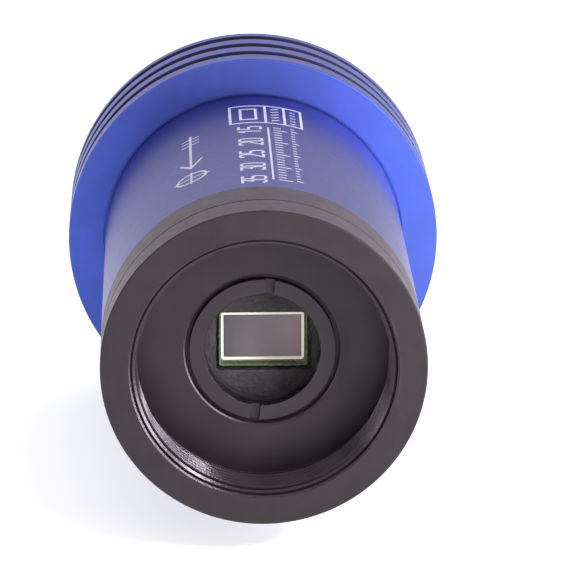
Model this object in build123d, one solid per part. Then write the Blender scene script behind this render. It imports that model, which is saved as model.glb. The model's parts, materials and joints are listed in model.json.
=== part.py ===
from build123d import *
import os
from math import cos, radians, sin

# Guide camera with a 1.25 inch barrel.
# The optical axis is Y.  The nose points to -Y, the connectors to +Y, and +Z is up.
# The origin is the centre of the shoulder plane, where the barrel meets the flange.
# Lengths are millimetres.  A "depth" is measured back from the front of the nose.

# --- driving dimensions: barrel and flange ---
BARREL_R = 15.85            # 1.25 inch eyepiece barrel, 31.7 mm across
BARREL_LENGTH = 46.9        # nose front to shoulder
TUBE_BORE_R = 14.25
TUBE_NECK_R = 15.6          # behind the shoulder plane, where the tube sits in the flange
TUBE_SPIGOT_R = 15.2
TUBE_SPIGOT_END = 4.4
FLANGE_R = 19.8
FLANGE_THICKNESS = 12.8
FLANGE_SEAT_R = 16.05       # wider than the barrel, so the face starts clear of it
FLANGE_SEAT_DEPTH = 0.3
FLANGE_FRONT_CHAMFER = 0.12
FLANGE_REAR_CHAMFER = 0.4
GROOVE_CENTRES = (3.1, 6.8, 10.4)
GROOVE_WIDTH = 1.7
GROOVE_BOTTOM_R = 17.8
LAND_CHAMFER = 0.12
FIT = 0.05                  # radial clearance of a turned fit

# --- driving dimensions: nose ring and chamber ---
BLACK_LENGTH = 9.0          # black stretch of the nose
RING_LENGTH = 4.1
SHIM_THICKNESS = 0.1
SHIM_OUTER_R = 15.6
MOUTH_R = 12.92
MOUTH_DEPTH = 2.5           # length of the ring's plain bore
NECK_SETBACK = 0.3          # front of the chamber's neck, inside the ring's mouth
NECK_CHAMFER = 0.08
NOSE_CHAMFER = 0.12
SEAM_CHAMFER = 0.08
RING_THREAD_R = 14.25       # M28.5 x 0.6, wall of the ring's thread
LENS_THREAD_MINOR_R = 12.27     # 1 inch - 32 lens thread
LENS_THREAD_MAJOR_R = 12.70
LENS_ENTRY_R = 12.70        # wide end of the countersink in front of the lens thread
RUNOUT_R = 12.75
RUNOUT_LENGTH = 1.75
FLOOR_DEPTH = 6.35
WEB_REAR_DEPTH = 9.2
CHAMBER_REAR_DEPTH = 15.0
CHAMBER_BAY_R = 12.4        # bay behind the web that takes the sensor board
ORING_SECTION_R = 0.3
ORING_GROOVE_R = 13.6
ORING_GROOVE_WIDTH = 0.8
ORING_SETBACK = 2.0         # middle of the groove behind the tube's front

# --- driving dimensions: window ---
RETAINER_R = 7.16
RETAINER_BORE_R = 5.68
RETAINER_THICKNESS = 1.35
RETAINER_SLOT_WIDTH = 0.9
RETAINER_SLOT_DEPTH = 0.5
RETAINER_SLOT_TILT = 6.5    # degrees from upright
RETAINER_SEAT_R = 7.2
RECESS_R = 7.6              # clearance round the retainer's front
RECESS_DEPTH = 0.9
RECESS_CHAMFER = 0.1
WINDOW_R = 6.95
WINDOW_SEAT_R = 7.0
GASKET_THICKNESS = 0.2
GASKET_BORE_R = 5.9
WINDOW_THICKNESS = 0.8
WINDOW_CHAMFER = 0.1
APERTURE_R = 5.6

# --- driving dimensions: sensor ---
SENSOR_PLANE_DEPTH = 12.5   # flange distance of a CS lens
DIE_SIZE = (7.6, 4.25)
DIE_CENTRE = (0.14, -0.43)
DIE_THICKNESS = 0.25
BOND_FRAME_GAP = 0.08       # between the die and the frame
BOND_FRAME_WIDTH = 0.24
BOND_FRAME_CORNER_R = 0.3
BOND_FRAME_PROUD = 0.02
PACKAGE_SIZE = (9.0, 5.8)
PACKAGE_CENTRE = (0.23, -0.38)
PACKAGE_FRONT_DEPTH = 11.25
PACKAGE_REAR_DEPTH = 13.0
PACKAGE_CORNER_R = 0.35
CAVITY_SIZE = (8.35, 5.18)
CAVITY_CENTRE = (0.125, -0.29)
LID_FRONT_GAP = 0.05
LID_THICKNESS = 0.5
MASK_R = 7.6
MASK_FRONT_DEPTH = 11.0
MASK_GAP = 0.2              # gap between the foam and the package
MASK_LIP = 0.12             # how far the foam covers the package's upper rim

# --- driving dimensions: boards and fasteners ---
STACK_PCD_R = 10.0
STACK_ANGLES = (30, 150, 270)
BOSS_R = 1.9
STUD_R = 0.78
STUD_HOLE_R = 0.8
STUD_LENGTH = 3.2
STANDOFF_ACROSS_FLATS = 3.0
SENSOR_BOARD_R = 12.0
SENSOR_BOARD_THICKNESS = 1.2
SENSOR_CAPACITOR_SIZE = (1.6, 0.8)
SENSOR_CAPACITOR_ROWS = (-5.2, 5.2)
SENSOR_CAPACITOR_COLUMNS = (-4.5, -1.5, 1.5, 4.5)
STACK_GAP = 6.0             # between the sensor board and the main board
MAIN_BOARD_R = 12.6
BOARD_THICKNESS = 1.6
SCREW_HEAD_R = 1.45
SCREW_HEAD_HEIGHT = 1.1
SCREW_CLEAR_R = 0.9
COVER_R = 17.0
COVER_THICKNESS = 1.9
COVER_CHAMFER = 0.2
REAR_GASKET_THICKNESS = 0.3
HOUSING_BAY_R = 16.0
HOUSING_BAY_FRONT = 4.6
LUG_PCD_R = 14.3
LUG_R = 1.7
COVER_HEAD_R = 1.9
COVER_HEAD_HEIGHT = 1.1
COVER_SCREW_LENGTH = 5.0
PILLAR_PCD_R = 10.2
PILLAR_ANGLES = (90, 210, 330)
PILLAR_PIN_R = 1.0
PILLAR_PIN_LENGTH = 1.0
INTERFACE_BOARD_R = 12.2
INTERFACE_BOARD_FRONT = 4.6
SOCKET_SIZE = (13.0, 4.4)       # board-to-board socket and plug
SOCKET_MOUTH_SIZE = (11.0, 1.2)
SOCKET_TONGUE_SIZE = (10.8, 1.0)
BOSS_ROOT = 0.3                 # how far a boss runs into the web
THREAD_DEPTH = 3.5              # blind thread in a pillar's end
BOARD_SCREW_LENGTH = 4.6
PIN_HOLE_R = 0.4                # board hole for a guide pin
LUG_ROOT = 0.5                  # how far a lug runs into the housing's wall
HEAD_RECESS = 0.1               # cover screw heads sit this far below the rear face
DIMPLE_R = 0.35                 # pin-one dimple of a chip
DIMPLE_DEPTH = 0.1
DIMPLE_PLACE = 0.36             # share of the chip's sides, from its centre
PROCESSOR_SIZE = (10, 10)
PROCESSOR_CENTRE = (0, -1)
PROCESSOR_HEIGHT = 1.3
MEMORY_SIZE = (8, 5.4)
MEMORY_CENTRE = (0, 7.4)
MEMORY_HEIGHT = 1.0
CRYSTAL_SIZE = (3.2, 2.0)
CRYSTAL_CENTRE = (7.9, 0.6)
CRYSTAL_HEIGHT = 0.8
CRYSTAL_CORNER_R = 0.4
INDUCTOR_SIDE = 3.0
INDUCTOR_CORNER_R = 0.5
INDUCTOR_HEIGHT = 1.5
INDUCTOR_CENTRES = ((8.2, -3.2), (4.6, -8.4))
WINDING_RADII = (0.5, 0.9)      # ring cut into an inductor's rear face
WINDING_DEPTH = 0.2
CAPACITOR_SIZE = (1.2, 0.7)
CAPACITOR_CENTRES = ((-5.8, -7.6), (-4.2, -9.2), (-7.4, -6.0), (9.6, 2.6), (-5.6, 6.6),
                     (5.6, 6.6))
USB_CHIP_CENTRE = (-1.0, 0.4)
USB_CHIP_SIZE = (4.4, 4.4)
USB_CHIP_HEIGHT = 0.9
THERMAL_PAD_SIZE = (3.8, 3.8)

# --- driving dimensions: connectors ---
USB_CENTRE = (0, 4.6)
USB_SIZE = (8.94, 3.26)
USB_WALL = 0.3
USB_SETBACK = 0.2           # mouth of the shell behind the rear face
USB_TONGUE_SIZE = (6.7, 0.7)
USB_OPENING_GAP = 0.2
USB_BASE_THICKNESS = 0.8
USB_TONGUE_SETBACK = 0.6
GUIDE_CENTRE = (0, -4.6)
GUIDE_SIZE = (7.8, 5.0)
GUIDE_CAVITY_SIZE = (6.4, 3.6)
GUIDE_CAVITY_DEPTH = 4.6
GUIDE_PIN_PITCH = 1.5
GUIDE_PIN_WIDTH = 0.5
GUIDE_PIN_TAIL = 0.6            # pin in front of the interface board
GUIDE_PIN_SETBACK = 1.6         # pin tip behind the port's mouth
GUIDE_NOTCH_SIZE = (2.0, 0.6)
LED_CENTRE = (8.4, 2.4)
LIGHT_PIPE_R = 0.95
LIGHT_PIPE_SHOULDER = 0.45
LIGHT_PIPE_SHOULDER_LENGTH = 0.6
LIGHT_PIPE_GAP = 0.9            # board to the pipe's front
LIGHT_PIPE_DOME = 0.15
LED_SIZE = (1.6, 0.8)
LED_HEIGHT = 0.7
CABLE_X = -8.4
CABLE_Z = -0.2
CABLE_WIDTH = 6.0
CABLE_THICKNESS = 0.12
CABLE_BOW = 2.8                 # sideways reach of the bow towards the tube wall
CABLE_STRAIGHT = 3.0            # straight run out of each socket
CABLE_SLOPE = 5.0
CABLE_BEND_R = 2.5
CABLE_SOCKET_SIZE = (2.6, 6.4)
CABLE_SOCKET_HEIGHT = 1.5

# --- places along the axis that follow from the dimensions above ---
NOSE_Y = -BARREL_LENGTH
RING_REAR_Y = NOSE_Y + RING_LENGTH
COLLAR_FRONT_Y = RING_REAR_Y + SHIM_THICKNESS
COLLAR_REAR_Y = NOSE_Y + BLACK_LENGTH
NECK_FRONT_Y = NOSE_Y + NECK_SETBACK
SPIGOT_FRONT_Y = NOSE_Y + MOUTH_DEPTH
FLOOR_Y = NOSE_Y + FLOOR_DEPTH
WEB_REAR_Y = NOSE_Y + WEB_REAR_DEPTH
CHAMBER_REAR_Y = NOSE_Y + CHAMBER_REAR_DEPTH
RETAINER_REAR_Y = FLOOR_Y + RETAINER_THICKNESS
WINDOW_FRONT_Y = RETAINER_REAR_Y + GASKET_THICKNESS
WINDOW_REAR_Y = WINDOW_FRONT_Y + WINDOW_THICKNESS
DIE_FRONT_Y = NOSE_Y + SENSOR_PLANE_DEPTH
CAVITY_FLOOR_Y = DIE_FRONT_Y + DIE_THICKNESS
PACKAGE_FRONT_Y = NOSE_Y + PACKAGE_FRONT_DEPTH
PACKAGE_REAR_Y = NOSE_Y + PACKAGE_REAR_DEPTH
MASK_FRONT_Y = NOSE_Y + MASK_FRONT_DEPTH
ORING_Y = COLLAR_REAR_Y + ORING_SETBACK
SENSOR_BOARD_REAR_Y = PACKAGE_REAR_Y + SENSOR_BOARD_THICKNESS
SOCKET_SPLIT_Y = SENSOR_BOARD_REAR_Y + STACK_GAP / 2
MAIN_BOARD_FRONT_Y = SENSOR_BOARD_REAR_Y + STACK_GAP
MAIN_BOARD_REAR_Y = MAIN_BOARD_FRONT_Y + BOARD_THICKNESS
INTERFACE_BOARD_REAR_Y = INTERFACE_BOARD_FRONT + BOARD_THICKNESS
COVER_FRONT_Y = FLANGE_THICKNESS - COVER_THICKNESS
GASKET_FRONT_Y = COVER_FRONT_Y - REAR_GASKET_THICKNESS
HEAD_SEAT_Y = FLANGE_THICKNESS - COVER_HEAD_HEIGHT - HEAD_RECESS
USB_BASE_REAR_Y = INTERFACE_BOARD_REAR_Y + USB_BASE_THICKNESS
USB_REAR_Y = FLANGE_THICKNESS - USB_SETBACK
CABLE_FRONT_Y = MAIN_BOARD_REAR_Y + CABLE_SOCKET_HEIGHT
CABLE_REAR_Y = INTERFACE_BOARD_FRONT - CABLE_SOCKET_HEIGHT


# --- shared helpers ---

def turned(*outline):
    """Solid of revolution about the optical axis from (radius, y) points."""
    return revolve(make_face(Polyline(*outline, close=True)), axis=Axis.Y)


def tube(inner_r, outer_r, front, rear):
    """Plain tube about the optical axis."""
    return turned((inner_r, front), (outer_r, front), (outer_r, rear), (inner_r, rear))


def rod(radius, front, rear):
    """Plain round bar about the optical axis."""
    return tube(0, radius, front, rear)


def prism(sketch, front, rear):
    """Flat outline, drawn in X and Z, extruded from front to rear."""
    return extrude(Plane.XZ.offset(-front) * sketch, amount=front - rear)


def block(size, centre, front, rear):
    """Rectangular block of (x, z) size about an (x, z) centre."""
    return prism(Pos(*centre) * Rectangle(*size), front, rear)


def soft_block(size, centre, corner, front, rear):
    """Block with rounded upright corners."""
    return prism(Pos(*centre) * RectangleRounded(*size, corner), front, rear)


def slot_block(size, centre, front, rear):
    """Block whose short ends are half round."""
    return prism(Pos(*centre) * SlotOverall(*size), front, rear)


def moved(shape, centre):
    """A shape made on the optical axis, moved to an (x, z) centre."""
    return Pos(centre[0], 0, centre[1]) * shape


def ring_places(radius, angles):
    """The (x, z) centres of a ring of features."""
    return [(radius * cos(radians(angle)), radius * sin(radians(angle))) for angle in angles]


def at_each(shape, centres):
    """Copies of an on-axis shape at each (x, z) centre, as one list of solids."""
    return [moved(shape, centre) for centre in centres]


def cap_screw(head_r, head_height, shank_r, head_seat_y, length, direction):
    """Socket screw: the head sits behind head_seat_y and the shank runs along direction."""
    head_end = head_seat_y - direction * head_height
    shank_end = head_seat_y + direction * length
    head = rod(head_r, min(head_seat_y, head_end), max(head_seat_y, head_end))
    shank = rod(shank_r, min(head_seat_y, shank_end), max(head_seat_y, shank_end))
    socket_floor = head_end + direction * head_height * 0.6
    socket = prism(RegularPolygon(head_r * 0.5, 6), min(head_end, socket_floor),
                   max(head_end, socket_floor))
    return head + shank - socket


def hex_pillar(front, rear):
    """Hexagonal pillar about the optical axis."""
    return prism(RegularPolygon(STANDOFF_ACROSS_FLATS / 2, 6, major_radius=False), front, rear)


# --- nose ---

def nose_ring():
    """Front ring: plain bore round the chamber's neck, and the wall that screws on to it."""
    inner_step = SPIGOT_FRONT_Y - FIT
    return turned(
        (MOUTH_R + NOSE_CHAMFER, NOSE_Y),
        (BARREL_R - NOSE_CHAMFER, NOSE_Y),
        (BARREL_R, NOSE_Y + NOSE_CHAMFER),
        (BARREL_R, RING_REAR_Y - SEAM_CHAMFER),
        (BARREL_R - SEAM_CHAMFER, RING_REAR_Y),
        (RING_THREAD_R, RING_REAR_Y),
        (RING_THREAD_R, inner_step),
        (MOUTH_R, inner_step),
        (MOUTH_R, NOSE_Y + NOSE_CHAMFER))


def spacer_shim():
    """Thin washer between the front ring and the collar."""
    return tube(RING_THREAD_R, SHIM_OUTER_R, RING_REAR_Y, COLLAR_FRONT_Y)


def chamber_housing():
    """Neck, collar, lens thread, floor, window seat and the spigot inside the barrel tube."""
    spigot_r = RING_THREAD_R - FIT
    neck_r = MOUTH_R - FIT
    thread_entry = LENS_ENTRY_R - LENS_THREAD_MINOR_R
    body = turned(
        (LENS_ENTRY_R, NECK_FRONT_Y),
        (neck_r - NECK_CHAMFER, NECK_FRONT_Y),
        (neck_r, NECK_FRONT_Y + NECK_CHAMFER),
        (neck_r, SPIGOT_FRONT_Y),
        (spigot_r, SPIGOT_FRONT_Y),
        (spigot_r, COLLAR_FRONT_Y),
        (BARREL_R - SEAM_CHAMFER, COLLAR_FRONT_Y),
        (BARREL_R, COLLAR_FRONT_Y + SEAM_CHAMFER),
        (BARREL_R, COLLAR_REAR_Y),
        (spigot_r, COLLAR_REAR_Y),
        (spigot_r, ORING_Y - ORING_GROOVE_WIDTH / 2),
        (ORING_GROOVE_R, ORING_Y - ORING_GROOVE_WIDTH / 2),
        (ORING_GROOVE_R, ORING_Y + ORING_GROOVE_WIDTH / 2),
        (spigot_r, ORING_Y + ORING_GROOVE_WIDTH / 2),
        (spigot_r, CHAMBER_REAR_Y),
        (CHAMBER_BAY_R, CHAMBER_REAR_Y),
        (CHAMBER_BAY_R, WEB_REAR_Y),
        (APERTURE_R, WEB_REAR_Y),
        (APERTURE_R, WINDOW_REAR_Y),
        (WINDOW_SEAT_R, WINDOW_REAR_Y),
        (WINDOW_SEAT_R, RETAINER_REAR_Y),
        (RETAINER_SEAT_R, RETAINER_REAR_Y),
        (RETAINER_SEAT_R, FLOOR_Y + RECESS_DEPTH),
        (RECESS_R, FLOOR_Y + RECESS_DEPTH),
        (RECESS_R, FLOOR_Y + RECESS_CHAMFER),
        (RECESS_R + RECESS_CHAMFER, FLOOR_Y),
        (RUNOUT_R, FLOOR_Y),
        (RUNOUT_R, FLOOR_Y - RUNOUT_LENGTH),
        (LENS_THREAD_MINOR_R, FLOOR_Y - RUNOUT_LENGTH),
        (LENS_THREAD_MINOR_R, NECK_FRONT_Y + thread_entry))
    places = ring_places(STACK_PCD_R, STACK_ANGLES)
    boss = rod(BOSS_R, WEB_REAR_Y - BOSS_ROOT, PACKAGE_REAR_Y)
    hole_front = PACKAGE_REAR_Y - STUD_LENGTH - BOSS_ROOT
    stud_hole = rod(STUD_HOLE_R, hole_front, PACKAGE_REAR_Y)
    return body + at_each(boss, places) - at_each(stud_hole, places)


def front_oring():
    """Seal between the chamber's spigot and the barrel tube."""
    section = Pos(ORING_GROOVE_R + ORING_SECTION_R + 0.02, ORING_Y) * Circle(ORING_SECTION_R)
    return revolve(section, axis=Axis.Y)


# --- window ---

def window_retainer():
    """Threaded ring with two spanner slots, flush with the chamber's floor."""
    ring = tube(RETAINER_BORE_R, RETAINER_R, FLOOR_Y, RETAINER_REAR_Y)
    slot = block((RETAINER_SLOT_WIDTH, 3 * RETAINER_R), (0, 0), FLOOR_Y - 1,
                 FLOOR_Y + RETAINER_SLOT_DEPTH)
    return ring - Rot(Y=RETAINER_SLOT_TILT) * slot


def window_gasket():
    """Soft washer between the retainer and the window."""
    return tube(GASKET_BORE_R, WINDOW_R, RETAINER_REAR_Y, WINDOW_FRONT_Y)


def window_glass():
    """Plane-parallel window with a fine edge chamfer."""
    return turned(
        (0, WINDOW_FRONT_Y),
        (WINDOW_R - WINDOW_CHAMFER, WINDOW_FRONT_Y),
        (WINDOW_R, WINDOW_FRONT_Y + WINDOW_CHAMFER),
        (WINDOW_R, WINDOW_REAR_Y - WINDOW_CHAMFER),
        (WINDOW_R - WINDOW_CHAMFER, WINDOW_REAR_Y),
        (0, WINDOW_REAR_Y))


# --- sensor ---

def sensor_package():
    """Carrier with a raised rim round the die's cavity."""
    body = soft_block(PACKAGE_SIZE, PACKAGE_CENTRE, PACKAGE_CORNER_R, PACKAGE_FRONT_Y,
                      PACKAGE_REAR_Y)
    return body - block(CAVITY_SIZE, CAVITY_CENTRE, PACKAGE_FRONT_Y, CAVITY_FLOOR_Y)


def sensor_cover_glass():
    """Lid set just inside the package's rim."""
    front = PACKAGE_FRONT_Y + LID_FRONT_GAP
    return block(CAVITY_SIZE, CAVITY_CENTRE, front, front + LID_THICKNESS)


def sensor_die():
    """Light-sensitive chip."""
    return block(DIE_SIZE, DIE_CENTRE, DIE_FRONT_Y, CAVITY_FLOOR_Y)


def sensor_bond_frame():
    """Pale frame of bonding pads round the die."""
    front = DIE_FRONT_Y - BOND_FRAME_PROUD
    inner = [side + 2 * BOND_FRAME_GAP for side in DIE_SIZE]
    outer = [side + 2 * BOND_FRAME_WIDTH for side in inner]
    frame = soft_block(outer, DIE_CENTRE, BOND_FRAME_CORNER_R, front, CAVITY_FLOOR_Y)
    return frame - block(inner, DIE_CENTRE, front, CAVITY_FLOOR_Y)


def sensor_mask():
    """Foam disc round the package, with a lip over the package's upper rim."""
    width = PACKAGE_SIZE[0] + 2 * MASK_GAP
    height = PACKAGE_SIZE[1] + MASK_GAP
    disc = rod(MASK_R, MASK_FRONT_Y, PACKAGE_REAR_Y)
    opening_centre = (PACKAGE_CENTRE[0], PACKAGE_CENTRE[1] - MASK_GAP / 2)
    lip_centre = (opening_centre[0], opening_centre[1] - MASK_LIP / 2)
    opening = block((width, height), opening_centre, PACKAGE_FRONT_Y, PACKAGE_REAR_Y)
    mouth = block((width, height - MASK_LIP), lip_centre, MASK_FRONT_Y, PACKAGE_FRONT_Y)
    return disc - opening - mouth


def sensor_board():
    """Round board that carries the sensor."""
    board = rod(SENSOR_BOARD_R, PACKAGE_REAR_Y, SENSOR_BOARD_REAR_Y)
    hole = rod(SCREW_CLEAR_R, PACKAGE_REAR_Y, SENSOR_BOARD_REAR_Y)
    return board - at_each(hole, ring_places(STACK_PCD_R, STACK_ANGLES))


def sensor_capacitors():
    """Two rows of ceramic capacitors behind the sensor."""
    rear = SENSOR_BOARD_REAR_Y + SENSOR_CAPACITOR_SIZE[1]
    places = [(x, z) for z in SENSOR_CAPACITOR_ROWS for x in SENSOR_CAPACITOR_COLUMNS]
    return [block(SENSOR_CAPACITOR_SIZE, place, SENSOR_BOARD_REAR_Y, rear) for place in places]


# --- board stack ---

def sensor_socket():
    """Board-to-board socket on the sensor board."""
    body = block(SOCKET_SIZE, (0, 0), SENSOR_BOARD_REAR_Y, SOCKET_SPLIT_Y)
    mouth_floor = SOCKET_SPLIT_Y - SOCKET_MOUTH_SIZE[1]
    return body - block(SOCKET_MOUTH_SIZE, (0, 0), mouth_floor, SOCKET_SPLIT_Y)


def main_plug():
    """Matching plug on the main board, with its tongue in the socket."""
    body = block(SOCKET_SIZE, (0, 0), SOCKET_SPLIT_Y, MAIN_BOARD_FRONT_Y)
    tongue_front = SOCKET_SPLIT_Y - SOCKET_TONGUE_SIZE[1]
    return body + block(SOCKET_TONGUE_SIZE, (0, 0), tongue_front, SOCKET_SPLIT_Y)


def stack_standoffs():
    """Hexagonal pillars whose studs pass through the sensor board into the bosses."""
    body = hex_pillar(SENSOR_BOARD_REAR_Y, MAIN_BOARD_FRONT_Y)
    stud = rod(STUD_R, PACKAGE_REAR_Y - STUD_LENGTH, SENSOR_BOARD_REAR_Y)
    thread = rod(STUD_HOLE_R, MAIN_BOARD_FRONT_Y - THREAD_DEPTH, MAIN_BOARD_FRONT_Y)
    return at_each(body + stud - thread, ring_places(STACK_PCD_R, STACK_ANGLES))


def main_board():
    """Round processing board with three screw holes."""
    board = rod(MAIN_BOARD_R, MAIN_BOARD_FRONT_Y, MAIN_BOARD_REAR_Y)
    hole = rod(SCREW_CLEAR_R, MAIN_BOARD_FRONT_Y, MAIN_BOARD_REAR_Y)
    return board - at_each(hole, ring_places(STACK_PCD_R, STACK_ANGLES))


def main_board_screws():
    """Socket screws through the main board into the standoffs."""
    screw = cap_screw(SCREW_HEAD_R, SCREW_HEAD_HEIGHT, STUD_R, MAIN_BOARD_REAR_Y,
                      BOARD_SCREW_LENGTH, -1)
    return at_each(screw, ring_places(STACK_PCD_R, STACK_ANGLES))


def chip(size, centre, height, front):
    """Chip with a shallow pin-one dimple in its rear face."""
    body = block(size, centre, front, front + height)
    rear = front + height
    dimple_place = (centre[0] - size[0] * DIMPLE_PLACE, centre[1] + size[1] * DIMPLE_PLACE)
    return body - moved(rod(DIMPLE_R, rear - DIMPLE_DEPTH, rear), dimple_place)


def image_processor():
    return chip(PROCESSOR_SIZE, PROCESSOR_CENTRE, PROCESSOR_HEIGHT, MAIN_BOARD_REAR_Y)


def memory_chip():
    return chip(MEMORY_SIZE, MEMORY_CENTRE, MEMORY_HEIGHT, MAIN_BOARD_REAR_Y)


def clock_crystal():
    return soft_block(CRYSTAL_SIZE, CRYSTAL_CENTRE, CRYSTAL_CORNER_R, MAIN_BOARD_REAR_Y,
                      MAIN_BOARD_REAR_Y + CRYSTAL_HEIGHT)


def power_inductors():
    """Two shielded inductors with a round winding window."""
    rear = MAIN_BOARD_REAR_Y + INDUCTOR_HEIGHT
    coil = soft_block((INDUCTOR_SIDE, INDUCTOR_SIDE), (0, 0), INDUCTOR_CORNER_R,
                      MAIN_BOARD_REAR_Y, rear)
    window = tube(*WINDING_RADII, rear - WINDING_DEPTH, rear)
    return at_each(coil - window, INDUCTOR_CENTRES)


def main_capacitors():
    """Ceramic capacitors beside the processor."""
    rear = MAIN_BOARD_REAR_Y + CAPACITOR_SIZE[1]
    return [block(CAPACITOR_SIZE, place, MAIN_BOARD_REAR_Y, rear) for place in CAPACITOR_CENTRES]


# --- flat cable ---

def flat_cable():
    """Flat cable that bows towards the tube wall between its two sockets."""
    bow_x = CABLE_X - CABLE_BOW
    route = FilletPolyline(
        (CABLE_X, CABLE_FRONT_Y),
        (CABLE_X, CABLE_FRONT_Y + CABLE_STRAIGHT),
        (bow_x, CABLE_FRONT_Y + CABLE_STRAIGHT + CABLE_SLOPE),
        (bow_x, CABLE_REAR_Y - CABLE_STRAIGHT - CABLE_SLOPE),
        (CABLE_X, CABLE_REAR_Y - CABLE_STRAIGHT),
        (CABLE_X, CABLE_REAR_Y),
        radius=CABLE_BEND_R)
    strip = extrude(trace(route, CABLE_THICKNESS), amount=CABLE_WIDTH)
    return Pos(0, 0, CABLE_Z - CABLE_WIDTH / 2) * strip


def flat_cable_sockets():
    """Sockets on the main board and on the interface board, face to face."""
    centre = (CABLE_X, CABLE_Z)
    return [block(CABLE_SOCKET_SIZE, centre, MAIN_BOARD_REAR_Y, CABLE_FRONT_Y),
            block(CABLE_SOCKET_SIZE, centre, CABLE_REAR_Y, INTERFACE_BOARD_FRONT)]


# --- barrel tube and rear housing ---

def barrel_tube():
    """1.25 inch tube; its neck sits in the flange and its rear spigot screws into it."""
    return turned(
        (TUBE_BORE_R, COLLAR_REAR_Y),
        (BARREL_R, COLLAR_REAR_Y),
        (BARREL_R, 0),
        (TUBE_NECK_R, 0),
        (TUBE_NECK_R, FLANGE_SEAT_DEPTH),
        (TUBE_SPIGOT_R, FLANGE_SEAT_DEPTH),
        (TUBE_SPIGOT_R, TUBE_SPIGOT_END),
        (TUBE_BORE_R, TUBE_SPIGOT_END))


def groove_outline(centre):
    """Outline points of one cooling groove, front to rear, with eased edges."""
    front = centre - GROOVE_WIDTH / 2
    rear = centre + GROOVE_WIDTH / 2
    return [(FLANGE_R, front - LAND_CHAMFER),
            (FLANGE_R - LAND_CHAMFER, front),
            (GROOVE_BOTTOM_R, front),
            (GROOVE_BOTTOM_R, rear),
            (FLANGE_R - LAND_CHAMFER, rear),
            (FLANGE_R, rear + LAND_CHAMFER)]


def rear_housing():
    """Flange with three cooling grooves, a board bay and lugs for the cover screws."""
    spigot_bore_r = TUBE_SPIGOT_R + FIT
    cover_seat_r = COVER_R + FIT
    outline = [(spigot_bore_r, FLANGE_SEAT_DEPTH),
               (FLANGE_SEAT_R, FLANGE_SEAT_DEPTH),
               (FLANGE_SEAT_R, 0),
               (FLANGE_R - FLANGE_FRONT_CHAMFER, 0),
               (FLANGE_R, FLANGE_FRONT_CHAMFER)]
    for centre in GROOVE_CENTRES:
        outline += groove_outline(centre)
    outline += [(FLANGE_R, FLANGE_THICKNESS - FLANGE_REAR_CHAMFER),
                (FLANGE_R - FLANGE_REAR_CHAMFER, FLANGE_THICKNESS),
                (cover_seat_r, FLANGE_THICKNESS),
                (cover_seat_r, GASKET_FRONT_Y),
                (HOUSING_BAY_R, GASKET_FRONT_Y),
                (HOUSING_BAY_R, HOUSING_BAY_FRONT),
                (spigot_bore_r, HOUSING_BAY_FRONT)]
    places = ring_places(LUG_PCD_R, STACK_ANGLES)
    lug_root = HOUSING_BAY_R + LUG_ROOT - LUG_PCD_R
    lug = moved(rod(LUG_R, HOUSING_BAY_FRONT, GASKET_FRONT_Y), (LUG_PCD_R, 0))
    lug += block((lug_root, 2 * LUG_R), (LUG_PCD_R + lug_root / 2, 0), HOUSING_BAY_FRONT,
                 GASKET_FRONT_Y)
    lugs = [Rot(Y=-angle) * lug for angle in STACK_ANGLES]
    screw_hole = rod(STUD_HOLE_R, GASKET_FRONT_Y - COVER_SCREW_LENGTH, GASKET_FRONT_Y)
    return turned(*outline) + lugs - at_each(screw_hole, places)


def rear_gasket():
    """Flat seal under the rear cover."""
    ring = tube(HOUSING_BAY_R + FIT, COVER_R, GASKET_FRONT_Y, COVER_FRONT_Y)
    return ring - at_each(rod(SCREW_CLEAR_R, GASKET_FRONT_Y, COVER_FRONT_Y),
                          ring_places(LUG_PCD_R, STACK_ANGLES))


def rear_cover():
    """Rear cover with its connector openings and counterbored screw holes."""
    rear = FLANGE_THICKNESS
    disc = turned(
        (0, COVER_FRONT_Y),
        (COVER_R, COVER_FRONT_Y),
        (COVER_R, rear - COVER_CHAMFER),
        (COVER_R - COVER_CHAMFER, rear),
        (0, rear))
    gap = 2 * USB_OPENING_GAP
    usb_size = (USB_SIZE[0] + gap, USB_SIZE[1] + gap)
    guide_size = (GUIDE_SIZE[0] + gap, GUIDE_SIZE[1] + gap)
    screw_places = ring_places(LUG_PCD_R, STACK_ANGLES)
    pin_places = ring_places(PILLAR_PCD_R, PILLAR_ANGLES)
    disc -= slot_block(usb_size, USB_CENTRE, COVER_FRONT_Y, rear)
    disc -= soft_block(guide_size, GUIDE_CENTRE, 0.4, COVER_FRONT_Y, rear)
    disc -= moved(rod(LIGHT_PIPE_R, COVER_FRONT_Y, rear), LED_CENTRE)
    disc -= at_each(rod(COVER_HEAD_R + HEAD_RECESS, HEAD_SEAT_Y, rear), screw_places)
    disc -= at_each(rod(SCREW_CLEAR_R, COVER_FRONT_Y, rear), screw_places)
    disc -= at_each(rod(PILLAR_PIN_R, COVER_FRONT_Y, COVER_FRONT_Y + PILLAR_PIN_LENGTH),
                    pin_places)
    return disc


def rear_cover_screws():
    """Socket screws that hold the cover to the housing's lugs."""
    screw = cap_screw(COVER_HEAD_R, COVER_HEAD_HEIGHT, STUD_R, HEAD_SEAT_Y,
                      COVER_SCREW_LENGTH, -1)
    return at_each(screw, ring_places(LUG_PCD_R, STACK_ANGLES))


# --- interface board ---

def guide_pin_places():
    """The (x, z) centres of the guide port's four pins."""
    return [(GUIDE_CENTRE[0] + (index - 1.5) * GUIDE_PIN_PITCH, GUIDE_CENTRE[1])
            for index in range(4)]


def interface_board():
    """Round board behind the rear cover."""
    front = INTERFACE_BOARD_FRONT
    rear = INTERFACE_BOARD_REAR_Y
    board = rod(INTERFACE_BOARD_R, front, rear)
    board -= at_each(rod(SCREW_CLEAR_R, front, rear), ring_places(PILLAR_PCD_R, PILLAR_ANGLES))
    return board - at_each(rod(PIN_HOLE_R, front, rear), guide_pin_places())


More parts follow.
